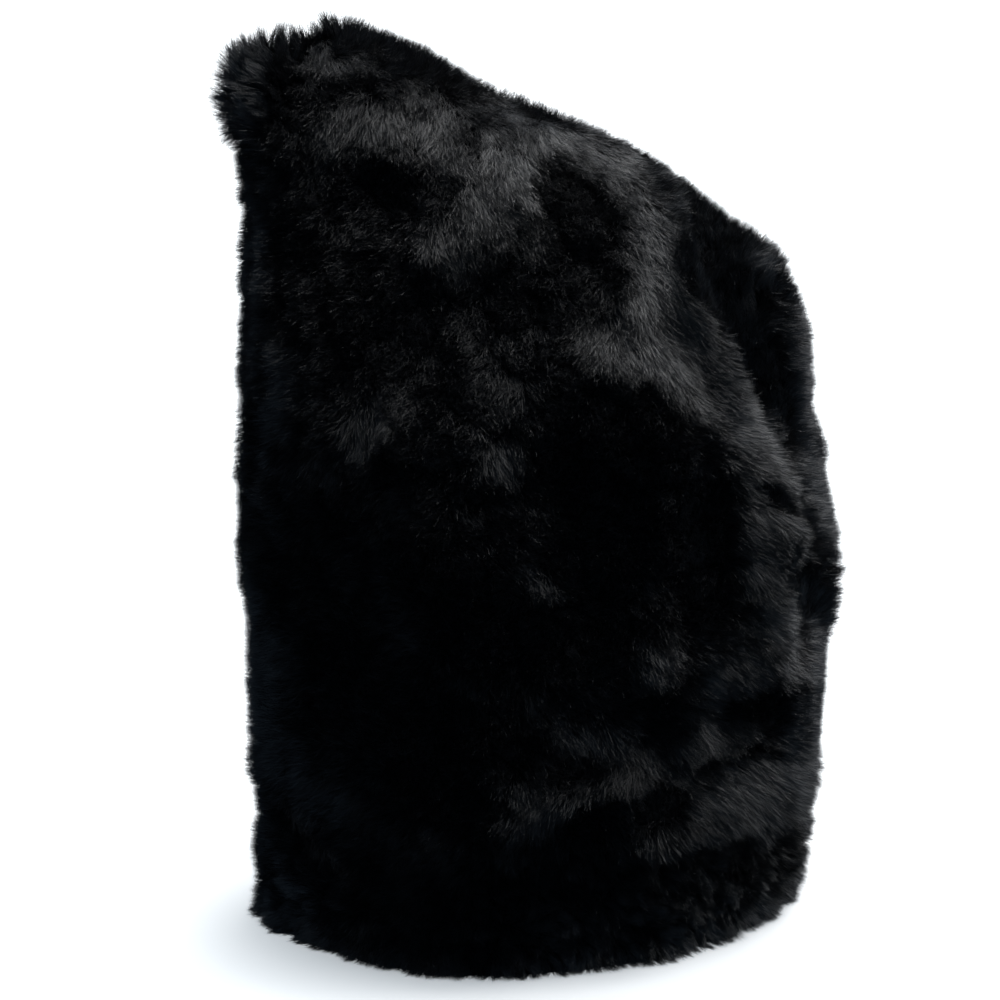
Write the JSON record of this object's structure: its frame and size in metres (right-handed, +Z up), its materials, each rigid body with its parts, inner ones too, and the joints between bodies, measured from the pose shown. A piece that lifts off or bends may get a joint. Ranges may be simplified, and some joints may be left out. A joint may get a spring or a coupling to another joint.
{
  "type": "tall brimless faux fur hat",
  "caption": "Tall brimless hat of deep black faux fur: side panels sewn over a slanted top seam on a headband, hollow for the head, standing on its hem.",
  "frame": {"origin": "middle of the bounding box on the floor plane, under the head opening", "axes": "+Z up from the hem to the peak, +X from the tall end to the low end, -Y towards the side seen in the picture"},
  "size_m": [0.2532, 0.2046, 0.3736],
  "materials": {
    "left_crown_fur": "deep glossy black pile",
    "right_crown_fur": "deep glossy black pile",
    "headband_fur": "deep glossy black pile"
  },
  "bodies": {
    "root": {"left_crown_panel": "left_crown_fur", "right_crown_panel": "right_crown_fur", "headband": "headband_fur"}
  },
  "joints": []
}
